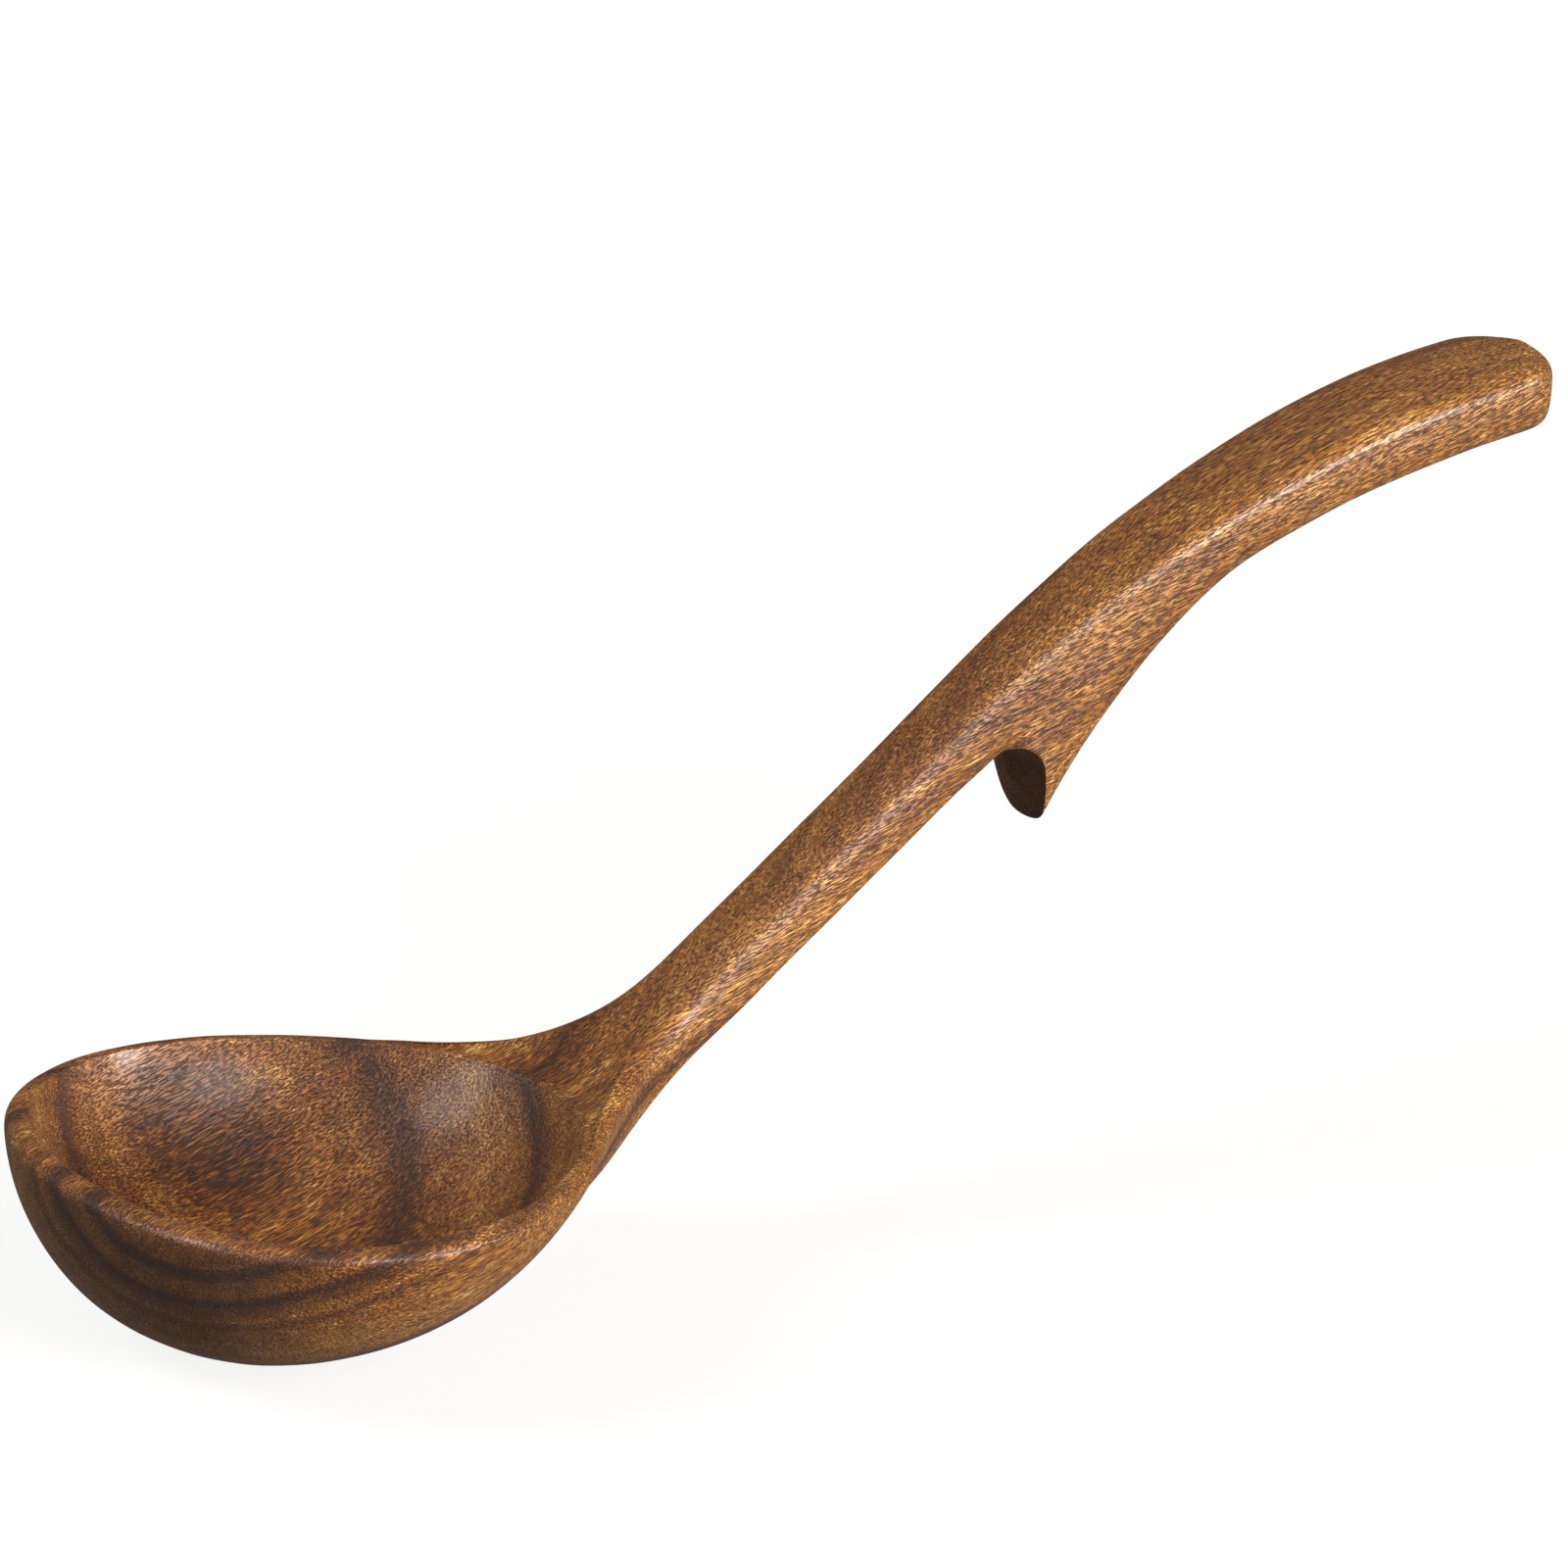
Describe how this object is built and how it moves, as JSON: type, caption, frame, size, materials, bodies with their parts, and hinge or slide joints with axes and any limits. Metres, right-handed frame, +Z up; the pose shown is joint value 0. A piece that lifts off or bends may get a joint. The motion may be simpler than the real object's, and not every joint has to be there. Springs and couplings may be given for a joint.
{
  "type": "wooden soup ladle",
  "caption": "Carved one-piece wooden soup ladle: round deep bowl, rising handle that widens into a grip, and a hook spur under the handle for hanging on a pot rim.",
  "frame": {"origin": "the lowest point of the bowl's outside, on the plane of symmetry", "axes": "+Z up with the bowl's rim level and open upward, +X from the bowl toward the end of the handle, XZ is the plane of symmetry"},
  "size_m": [0.2836, 0.0886, 0.1263],
  "materials": {
    "wood": "satin oiled hardwood"
  },
  "bodies": {
    "root": {"ladle": "wood"}
  },
  "joints": []
}
